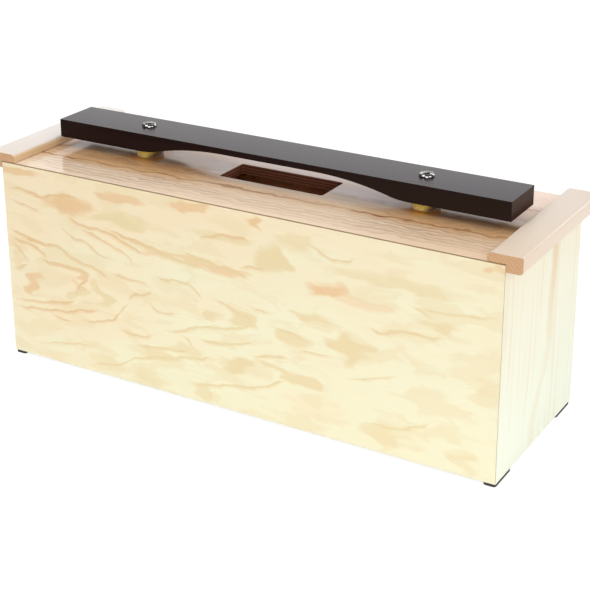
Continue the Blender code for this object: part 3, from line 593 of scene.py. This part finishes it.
def planed_beech(woods):
    """Beech, planed and lacquered."""
    # Even pinkish wood with faint rings and short darker flecks. Its end grain takes up lacquer and
    # darkens.
    material, tree, shader = new_finish("beech_planed_lacquered")
    place, back, across, _ = grain_frame(tree, "YXZ")
    sideways, endwise, _ = facing(tree)
    saw = ring_lines(tree, place, across, woods.beech_ring, 1.2, 200 * MM, 20 * MM)
    late = add(tree, "ValToRGB", (saw,), stops=[(0.0, 0.05), (0.6, 0.05), (0.95, 0.3), (1.0, 0.15)])
    board = add(tree, "Math", (across, 0.0), operation="GREATER_THAN")
    # Rays are 2 mm long and 0.2 mm wide; they are drawn 5 mm long and 0.5 mm wide to show.
    rays = stretched_noise(tree, place, 5 * MM, 0.5 * MM, detail=1.0)
    fleck = add(tree, "MapRange", (rays, 0.62, 0.75, 0.0, 0.35))
    # Paler towards the back, most of all in the left rail: partly sapwood, partly painted sheen.
    most = add(tree, "MapRange", (board, 0.0, 1.0, 0.9, 0.3))
    sapwood_and_sheen = add(tree, "MapRange", (back, PANEL_LOW.y, 40 * MM, 0.0, most))
    side = layered(
        tree, woods.beech,
        (board, woods.beech_right),
        (late, woods.beech_line),
        (fleck, woods.beech_fleck),
        (sapwood_and_sheen, woods.beech_sap_and_sheen))

    # Year rings cross the end grain as arcs about 5 mm apart. Its pores are 0.1 mm wide; they are drawn at
    # 1 mm to show.
    flat = add(tree, "Math", (endwise,), operation="ABSOLUTE")
    end = add(tree, "MapRange", (flat, 0.6, 0.9))
    pores = stretched_noise(tree, place, 1 * MM, 1 * MM)
    arcs = add(tree, "TexWave", {
        "Vector": add(tree, "TexCoord", out="Object"), "Scale": 0.12 / MM, "Distortion": 2.0,
        "Detail": 1.0}, out="Fac", bands_direction="DIAGONAL")
    arced = add(tree, "MapRange", (arcs, 0.5, 1.0, 0.0, 0.4))
    spotted = layered(tree, woods.beech_end, (pores, woods.beech_heart_and_shade), (arced, woods.beech_fleck))

    # Painted shade: the step towards the deck is browner. The outer side is a little warmer than the rest.
    outward = add(tree, "Math", (sideways, across), operation="MULTIPLY")
    step = add(tree, "MapRange", (outward, -0.15, -0.26, 0.0, 0.85))
    outside = add(tree, "MapRange", (outward, 0.15, 0.28, 0.0, 0.55))
    whole = layered(
        tree, side, (end, spotted), (step, woods.beech_heart_and_shade), (outside, woods.beech_line))
    gloss = add(tree, "MapRange", (rays, 0.0, 1.0, 0.27, 0.33))
    relief = add(tree, "Bump", {"Strength": 0.06, "Distance": 0.02 * MM, "Height": rays})
    feed(shader, {"Base Color": whole, "Roughness": gloss, "Normal": relief})
    return material


def sawn_spruce(woods, name, axes):
    """Spruce, sawn and bare."""
    # Clear straight rings, a hairy sawn surface and no gloss.
    material, tree, shader = new_finish(name)
    place, _, across, _ = grain_frame(tree, axes)
    saw = ring_lines(tree, place, across, woods.spruce_ring, 0.8, 200 * MM, 20 * MM)
    late = add(tree, "ValToRGB", (saw,), stops=[(0.0, 0.2), (0.1, 0.0), (0.6, 0.1), (0.95, 0.8)])
    figure = layered(tree, woods.spruce, (late, woods.spruce_line))
    rough = stretched_noise(tree, place, 6 * MM, 0.8 * MM, detail=4.0)
    tone = add(tree, "MapRange", (rough, 0.0, 1.0, 0.85, 1.1))
    shade = add(tree, "VectorMath", {0: figure, "Scale": tone}, operation="SCALE")
    relief = add(tree, "Bump", {"Strength": 0.5, "Distance": 0.2 * MM, "Height": rough})
    feed(shader, {"Base Color": shade, "Roughness": 0.8, "Normal": relief})
    return material


def oiled_rosewood(woods):
    """Rosewood, fine sanded and oiled."""
    # Nearly black with a red ground. The oil gives a satin face that mirrors the bright room at a low
    # angle, broken by fine pores that run with the grain.
    material, tree, shader = new_finish("rosewood_sanded_oiled")
    place, along, across, _ = grain_frame(tree, "XYZ")
    endwise, _, up = facing(tree)
    saw = ring_lines(tree, place, across, woods.rosewood_ring, 2.0, 300 * MM, 12 * MM)
    late = add(tree, "ValToRGB", (saw,), stops=[(0.0, 0.3), (0.2, 0.0), (0.6, 0.4), (0.95, 1.0)])
    browner = add(tree, "MapRange", (along, -100 * MM, 200 * MM))
    flat = add(tree, "Math", (endwise,), operation="ABSOLUTE")
    end = add(tree, "MapRange", (flat, 0.85, 0.98))
    # Painted shade: the rounded edges are darker.
    rim_shade = add(tree, "ValToRGB", (up,), stops=[
        (0.0, 0.0), (0.1, 0.0), (0.3, 1.0), (0.85, 1.0), (0.97, 0.0)])
    # Painted sheen: the top is a little grey, as if it mirrored the bright room, most of all towards its
    # back.
    sheen_on_top = add(tree, "MapRange", (up, 0.8, 0.98))
    back = add(tree, "MapRange", (across, -28 * MM, 28 * MM))
    top = layered(tree, woods.rosewood_near_sheen, (back, woods.rosewood_top_sheen))
    whole = layered(
        tree, woods.rosewood,
        (late, woods.rosewood_line),
        (browner, woods.rosewood_right),
        (end, woods.rosewood_end),
        (rim_shade, woods.rosewood_edge_shade),
        (sheen_on_top, top))

    # Pores are 0.15 mm wide; they are drawn at 0.5 mm to show.
    pores = stretched_noise(tree, place, 18 * MM, 0.5 * MM)
    gloss = add(tree, "MapRange", (pores, 0.3, 0.8, 0.26, 0.32))
    polish = add(tree, "MapRange", (sheen_on_top, 0.0, 1.0, 0.12, 0.5))
    polish = add(tree, "Math", (end, -0.07, polish), operation="MULTIPLY_ADD")
    relief = add(tree, "Bump", {"Strength": 0.03, "Distance": 0.02 * MM, "Height": pores})
    feed(shader, {
        "Base Color": whole, "Roughness": gloss, "Specular IOR Level": polish, "IOR": 1.49,
        "Normal": relief})
    return material


def pressed_felt(small):
    """Wool felt, pressed and punched."""
    # Matted fibres with no weave: a soft edge, tufts on the cut side and a pale bloom at its rim.
    material, tree, shader = new_finish("wool_felt_pressed")
    place, _, _, height = grain_frame(tree, "XYZ")
    # Fibres are 0.03 mm thick; the mat is drawn in tufts of 0.5 mm to show.
    tufts = add(tree, "TexNoise", {
        "Vector": place, "Scale": 1 / (0.5 * MM), "Detail": 4.0, "Distortion": 0.6})
    cloud = add(tree, "TexNoise", {"Vector": place, "Scale": 1 / (6 * MM), "Detail": 2.0})
    depth = add(tree, "Math", (tufts, cloud), operation="ADD")
    amount = add(tree, "MapRange", (depth, 0.75, 1.2))
    # Painted shade on the right side of each pad, strongest low down and less of it higher up.
    drop = add(tree, "Math", (height, -SHADE_SLOPE, facing(tree)["X"]), operation="MULTIPLY_ADD")
    level = -SHADE_SLOPE * (DECK_HIGH.z + 7 * MM)
    side_shade = add(tree, "MapRange", (drop, level + 0.35, level + 1.05, 0.0, 0.95),
                interpolation_type="SMOOTHSTEP")
    figure = layered(tree, small.felt_deep, (amount, small.felt), (side_shade, small.felt_shade))
    relief = add(tree, "Bump", {"Strength": 0.6, "Distance": 0.3 * MM, "Height": tufts})
    feed(shader, {
        "Base Color": figure, "Roughness": 0.95, "Sheen Weight": 1.0, "Sheen Roughness": 0.5,
        "Normal": relief})
    return material


def bright_nickel(small, name):
    """Nickel plate over steel, polished bright."""
    # A warm grey mirror with faint swirls and dull spots from handling.
    material, tree, shader = new_finish(name)
    place = add(tree, "TexCoord", out="Object")
    dull = add(tree, "TexNoise", {"Vector": place, "Scale": 1 / (3 * MM), "Detail": 3.0})
    worn = add(tree, "MapRange", (dull, 0.45, 0.75))
    figure = layered(tree, small.nickel, (worn, small.nickel_worn))
    gloss = add(tree, "MapRange", (dull, 0.3, 0.8, 0.1, 0.24))
    relief = add(tree, "Bump", {"Strength": 0.1, "Distance": 0.02 * MM, "Height": dull})
    feed(shader, {"Base Color": figure, "Metallic": 1.0, "Roughness": gloss, "Normal": relief})
    return material


def drawn_nylon(small):
    """Natural nylon, drawn as tube."""
    # Milky and waxy, with faint die lines along the tube.
    material, tree, shader = new_finish("nylon_drawn")
    place, *_ = grain_frame(tree, "ZXY")
    # Die lines are 0.1 mm wide; they are drawn at 0.4 mm to show.
    lines = stretched_noise(tree, place, 20 * MM, 0.4 * MM)
    tone = add(tree, "MapRange", (lines, 0.0, 1.0, 0.9, 1.05))
    shade = add(tree, "VectorMath", {0: small.nylon[:3], "Scale": tone}, operation="SCALE")
    relief = add(tree, "Bump", {"Strength": 0.2, "Distance": 0.02 * MM, "Height": lines})
    feed(shader, {"Base Color": shade, "Roughness": 0.45, "IOR": 1.53, "Normal": relief})
    return material


def cut_rubber(small):
    """Black rubber, cut from sheet."""
    # Dull and slightly dusty, with the fine cloth print of the sheet.
    material, tree, shader = new_finish("rubber_cut_sheet")
    place = add(tree, "TexCoord", out="Object")
    # The print is 0.3 mm; it is drawn at 0.8 mm to show.
    weave = add(tree, "TexNoise", {"Vector": place, "Scale": 1 / (0.8 * MM), "Detail": 3.0})
    dust = add(tree, "TexNoise", {"Vector": place, "Scale": 1 / (9 * MM), "Detail": 3.0})
    dusty = add(tree, "MapRange", (dust, 0.4, 0.8, 0.0, 0.12))
    figure = layered(tree, small.rubber, (dusty, small.rubber_dust))
    gloss = add(tree, "MapRange", (weave, 0.0, 1.0, 0.6, 0.85))
    relief = add(tree, "Bump", {"Strength": 0.3, "Distance": 0.1 * MM, "Height": weave})
    feed(shader, {"Base Color": figure, "Roughness": gloss, "IOR": 1.52, "Normal": relief})
    return material


def facet_smoother():
    """Geometry nodes that join a CAD node's triangles and shade its curves as curves."""
    tree = bpy.data.node_groups.get("smooth_facets")
    if tree:
        return tree
    tree = bpy.data.node_groups.new("smooth_facets", "GeometryNodeTree")
    tree.interface.new_socket("Geometry", in_out="INPUT", socket_type="NodeSocketGeometry")
    tree.interface.new_socket("Geometry", in_out="OUTPUT", socket_type="NodeSocketGeometry")
    entry = add(tree, "NodeGroupInput")
    joined = add(tree, "GeometryNodeMergeByDistance", {"Geometry": entry, "Distance": 0.002 * MM})
    angle = add(tree, "GeometryNodeInputMeshEdgeAngle", out="Unsigned Angle")
    sharp = add(tree, "FunctionNodeCompare", (angle, SHARP_FROM), operation="GREATER_THAN")
    shaded = add(tree, "GeometryNodeSetMeshNormal", {
        "Mesh": joined, "Remove Custom": True, "Edge Sharpness": sharp}, mode="SHARPNESS")
    add(tree, "NodeGroupOutput", (shaded,))
    return tree


def finish_node(name, material):
    """Gives a CAD node its material and even shading. Its mesh stays as it is."""
    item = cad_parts[name]
    for place in item.material_slots:
        place.material = material
    item.modifiers.new("smooth_facets", "NODES").node_group = facet_smoother()
    even = item.modifiers.new("even_shading", "WEIGHTED_NORMAL")
    even.keep_sharp = True


def placed(name, data):
    """A new object in the scene."""
    item = bpy.data.objects.new(name, data)
    bpy.context.scene.collection.objects.link(item)
    return item


class RESONATOR_OT_panels(bpy.types.Operator):
    """Veneers on the front, back, ends and bottom of the box"""

    bl_idname = "resonator.panels"
    bl_label = "Box panels"

    def execute(self, context):
        plain = context.scene.plain_pine
        sheets = rotary_cut_pine(context.scene.pine_figure)
        finish_node("front_panel", sheets)
        finish_node("back_panel", sheets)
        ends = straight_pine(plain, "pine_straight_grained_ends", "ZYX")
        finish_node("left_end_panel", ends)
        finish_node("right_end_panel", ends)
        finish_node("bottom_panel", straight_pine(plain, "pine_straight_grained_bottom", "XYZ"))
        return {"FINISHED"}


class RESONATOR_OT_deck(bpy.types.Operator):
    """Glossy deck with bare plies in its sound hole"""

    bl_idname = "resonator.deck"
    bl_label = "Deck"

    def execute(self, context):
        finish_node("top_deck", lacquered_deck(context.scene.plain_pine))
        return {"FINISHED"}


class RESONATOR_OT_inner_wood(bpy.types.Operator):
    """Corner blocks and battens inside the box"""

    bl_idname = "resonator.inner_wood"
    bl_label = "Blocks and battens"

    def execute(self, context):
        woods = context.scene.solid_woods
        blocks = sawn_spruce(woods, "spruce_sawn_upright", "ZXY")
        battens = sawn_spruce(woods, "spruce_sawn_across", "YXZ")
        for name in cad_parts:
            if name.endswith("corner_block"):
                finish_node(name, blocks)
            elif name.endswith("deck_batten"):
                finish_node(name, battens)
        return {"FINISHED"}


class RESONATOR_OT_rails(bpy.types.Operator):
    """Beech rails over the ends of the box"""

    bl_idname = "resonator.rails"
    bl_label = "End rails"

    def execute(self, context):
        beech = planed_beech(context.scene.solid_woods)
        finish_node("left_end_rail", beech)
        finish_node("right_end_rail", beech)
        return {"FINISHED"}


class RESONATOR_OT_tone_bar(bpy.types.Operator):
    """Oiled rosewood bar"""

    bl_idname = "resonator.tone_bar"
    bl_label = "Tone bar"

    def execute(self, context):
        finish_node("tone_bar", oiled_rosewood(context.scene.solid_woods))
        return {"FINISHED"}


def felt_outline(inner, outer, half, edge):
    """Half section of a felt ring: radius and height of its points, from the bore round to the bore."""
    flat = (inner, inner + 2 * MM, (inner + outer) / 2)
    points = [(radius, -half) for radius in flat]
    for step in range(EDGE_STEPS + 1):
        turn = math.radians(-90 + step * 90 / EDGE_STEPS)
        points.append((outer - edge + edge * math.cos(turn), -half + edge + edge * math.sin(turn)))
    for step in range(1, SIDE_ROWS):
        points.append((outer, -half + edge + step * 2 * (half - edge) / SIDE_ROWS))
    for step in range(EDGE_STEPS + 1):
        turn = math.radians(step * 90 / EDGE_STEPS)
        points.append((outer - edge + edge * math.cos(turn), half - edge + edge * math.sin(turn)))
    return points + [(radius, half) for radius in reversed(flat)]


def felt_pad(name, node, sleeve, small, material):
    """A punched felt ring: flat where it is held, rounded and tufted on its cut side."""
    low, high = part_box(node)
    sleeve_low, sleeve_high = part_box(sleeve)
    middle = (low + high) / 2
    outer = (high.x - low.x) / 2
    inner = (sleeve_high.x - sleeve_low.x) / 2 + FIT_GAP
    half = (high.z - low.z) / 2
    edge = small.felt_edge
    count = small.felt_around

    shape = bmesh.new()
    rings = []
    for radius, rise in felt_outline(inner, outer, half, edge):
        ring = []
        round_side = max(0.0, (radius - outer + edge) / edge)
        waist = small.felt_waist * round_side * (rise / half) ** 2
        for step in range(count):
            turn = math.tau * step / count
            spot = middle + Vector((radius * math.cos(turn), radius * math.sin(turn), rise))
            # Slow waves of 5 mm lie under tufts of 1.1 and 0.5 mm.
            slow = noise.noise(spot / (5 * MM))
            tuft = noise.noise(spot / (1.1 * MM)) + 0.5 * noise.noise(spot / (0.5 * MM))
            give = small.felt_relief * round_side * (1.0 + 0.5 * slow + 0.5 * tuft)
            pulled = radius - give - waist
            ring.append(shape.verts.new((
                middle.x + pulled * math.cos(turn), middle.y + pulled * math.sin(turn), middle.z + rise)))
        rings.append(ring)
    for here, there in zip(rings, rings[1:] + rings[:1]):
        for step in range(count):
            after = (step + 1) % count
            shape.faces.new((here[step], here[after], there[after], there[step]))
    bmesh.ops.recalc_face_normals(shape, faces=shape.faces)
    for face in shape.faces:
        face.smooth = True
    mesh = bpy.data.meshes.new(name)
    shape.to_mesh(mesh)
    shape.free()
    mesh.materials.append(material)
    pad = placed(name, mesh)
    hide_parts(node)
    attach(pad, "box")


class RESONATOR_OT_felt_pads(bpy.types.Operator):
    """Felt pads between the bar and the deck"""

    bl_idname = "resonator.felt_pads"
    bl_label = "Felt pads"

    def execute(self, context):
        small = context.scene.small_parts
        felt = pressed_felt(small)
        for side in ("left", "right"):
            felt_pad(f"{side}_felt_ring", f"{side}_felt_pad", f"{side}_spacer_sleeve", small, felt)
        return {"FINISHED"}


class RESONATOR_OT_fastenings(bpy.types.Operator):
    """Screws, cup washers and sleeves"""

    bl_idname = "resonator.fastenings"
    bl_label = "Fastenings"

    def execute(self, context):
        small = context.scene.small_parts
        washers = bright_nickel(small, "nickel_plate_pressed")
        screws = bright_nickel(small, "nickel_plate_turned")
        nylon = drawn_nylon(small)
        for side in ("left", "right"):
            finish_node(f"{side}_cup_washer", washers)
            finish_node(f"{side}_bar_screw", screws)
            finish_node(f"{side}_spacer_sleeve", nylon)
        return {"FINISHED"}


class RESONATOR_OT_feet(bpy.types.Operator):
    """Rubber feet"""

    bl_idname = "resonator.feet"
    bl_label = "Feet"

    def execute(self, context):
        rubber = cut_rubber(context.scene.small_parts)
        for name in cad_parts:
            if name.endswith("_foot"):
                finish_node(name, rubber)
        return {"FINISHED"}


def seen_rays(tree, *kinds):
    """1 for rays of these kinds, 0 for the rest."""
    total = 0.0
    for kind in kinds:
        ray = add(tree, "LightPath", out=kind)
        total = add(tree, "Math", (ray, total), operation="ADD", use_clamp=True)
    return total


def set_camera(scene, stage):
    """Camera at the front right that looks a little down."""
    view = bpy.data.cameras.new("camera")
    view.lens = stage.lens
    view.sensor_width = SENSOR_WIDTH
    view.shift_y = stage.shift
    eye = placed("camera", view)
    aim = Matrix.Rotation(stage.turn, 4, "Z") @ Matrix.Rotation(math.pi / 2 - stage.tilt, 4, "X")
    eye.matrix_world = Matrix.Translation(stage.place) @ aim @ Matrix.Rotation(stage.roll, 4, "Z")
    scene.camera = eye


def bright_room(scene, stage):
    """A world that is white to the camera and gives the object soft light."""
    world = bpy.data.worlds.new("bright_room")
    world.use_nodes = True
    scene.world = world
    room = world.node_tree
    # A mirror finds the white backdrop behind the object, a dimmer studio before it and a dark ceiling.
    # The backdrop is a strip with soft edges, whose middle lies a little to the left.
    way = add(room, "TexCoord", out="Generated")
    _, back, up = add(room, "SeparateXYZ", (way,)).node.outputs
    right = (math.cos(stage.turn), math.sin(stage.turn), 0.0)
    beside = add(room, "VectorMath", (way, right), operation="DOT_PRODUCT")
    off = add(room, "Math", (beside, 0.05), operation="ADD")
    off = add(room, "Math", (off,), operation="ABSOLUTE")
    behind = add(room, "Math", (back, 0.0), operation="GREATER_THAN")
    backdrop = add(room, "MapRange", (off, 0.36, 0.2), interpolation_type="SMOOTHSTEP")
    backdrop = add(room, "Math", (backdrop, behind), operation="MULTIPLY")
    wall = add(room, "MapRange", (backdrop, 0.0, 1.0, stage.front_glow, 1.0))
    ceiling = add(room, "MapRange", (up, 0.85, 0.5, stage.ceiling_glow, 1.0),
                  interpolation_type="SMOOTHSTEP")
    mirror = add(room, "Math", (wall, ceiling), operation="MULTIPLY")
    sky = add(room, "MapRange", (back, -0.3, 0.3, stage.sky_front, stage.sky_back))
    glossy = seen_rays(room, "Is Glossy Ray")
    bounced = add(room, "MapRange", (glossy, 0.0, 1.0, sky, mirror))
    direct = seen_rays(room, "Is Camera Ray", "Is Transmission Ray")
    level = add(room, "MapRange", (direct, 0.0, 1.0, bounced, 1.0))
    feed(room.nodes["Background"], {"Color": WHITE, "Strength": level})


def paper_floor(stage):
    """Pale paper under the object, which keeps its shadow."""
    # Matt white paper: it scatters light evenly and shows no gloss.
    paper, tree, shader = new_finish("paper_matt_white")
    feed(shader, {"Base Color": stage.floor, "Roughness": 0.9})
    shade = stage.paper_shade
    faint = add(tree, "BsdfDiffuse", {"Color": (shade, shade, shade, 1.0)})
    glow = add(tree, "Emission", {"Color": WHITE, "Strength": stage.paper_glow})
    lit = add(tree, "AddShader", (faint, glow))
    seen = seen_rays(tree, "Is Camera Ray", "Is Glossy Ray", "Is Transmission Ray")
    shown = add(tree, "MixShader", (seen, shader.outputs[0], lit))
    feed(tree.nodes["Material Output"], {"Surface": shown})
    shape = bmesh.new()
    shape.faces.new([shape.verts.new((x, y, FLOOR_LEVEL)) for x, y in FLOOR_CORNERS])
    mesh = bpy.data.meshes.new("floor")
    shape.to_mesh(mesh)
    shape.free()
    mesh.materials.append(paper)
    floor = placed("floor", mesh)


class RESONATOR_OT_stage(bpy.types.Operator):
    """Camera, soft lamps and a pale floor"""

    bl_idname = "resonator.stage"
    bl_label = "Stage"

    def execute(self, context):
        scene = context.scene
        stage = scene.bright_stage
        scene.view_settings.view_transform = "Standard"
        set_camera(scene, stage)
        bright_room(scene, stage)
        paper_floor(stage)
        for name, power, spot in (
                ("left_soft_box", stage.left_power, (-0.9, -1.5, 2.4)),
                ("right_soft_box", stage.right_power, (2.3, -0.5, 1.3)),
                ("front_soft_box", stage.front_power, (1.05, -1.9, 1.0)),
                ("back_soft_box", stage.back_power, (0.7, 2.4, 1.3))):
            lamp = bpy.data.lights.new(name, "AREA")
            lamp.shape = "SQUARE"
            lamp.size = stage.box_size
            lamp.energy = power
            box = placed(name, lamp)
            box.location = spot
            box.rotation_euler = (LAMP_TARGET - box.location).to_track_quat("-Z", "Y").to_euler()
            box.visible_camera = False
        return {"FINISHED"}


class RESONATOR_PT_finishes(bpy.types.Panel):
    """Lists the finishes and the stage"""

    bl_idname = "RESONATOR_PT_finishes"
    bl_label = "Resonator Bar"
    bl_space_type = "VIEW_3D"
    bl_region_type = "UI"
    bl_category = "Resonator Bar"

    def draw(self, context):
        for step in STEPS:
            self.layout.operator(step.bl_idname)


GROUPS = {
    "pine_figure": PineFigure,
    "plain_pine": PlainPine,
    "solid_woods": SolidWoods,
    "small_parts": SmallParts,
    "bright_stage": BrightStage,
}
STEPS = (
    RESONATOR_OT_stage,
    RESONATOR_OT_panels,
    RESONATOR_OT_deck,
    RESONATOR_OT_inner_wood,
    RESONATOR_OT_rails,
    RESONATOR_OT_tone_bar,
    RESONATOR_OT_felt_pads,
    RESONATOR_OT_fastenings,
    RESONATOR_OT_feet,
)


def register():
    for kind in (*GROUPS.values(), *STEPS, RESONATOR_PT_finishes):
        bpy.utils.register_class(kind)
    for name, kind in GROUPS.items():
        setattr(bpy.types.Scene, name, PointerProperty(type=kind))


def unregister():
    for name in GROUPS:
        delattr(bpy.types.Scene, name)
    for kind in (RESONATOR_PT_finishes, *reversed(STEPS), *reversed(GROUPS.values())):
        bpy.utils.unregister_class(kind)


def main():
    register()
    bpy.ops.resonator.stage()
    bpy.ops.resonator.panels()
    bpy.ops.resonator.deck()
    bpy.ops.resonator.inner_wood()
    bpy.ops.resonator.rails()
    bpy.ops.resonator.tone_bar()
    bpy.ops.resonator.felt_pads()
    bpy.ops.resonator.fastenings()
    bpy.ops.resonator.feet()


if __name__ == "__main__":
    main()
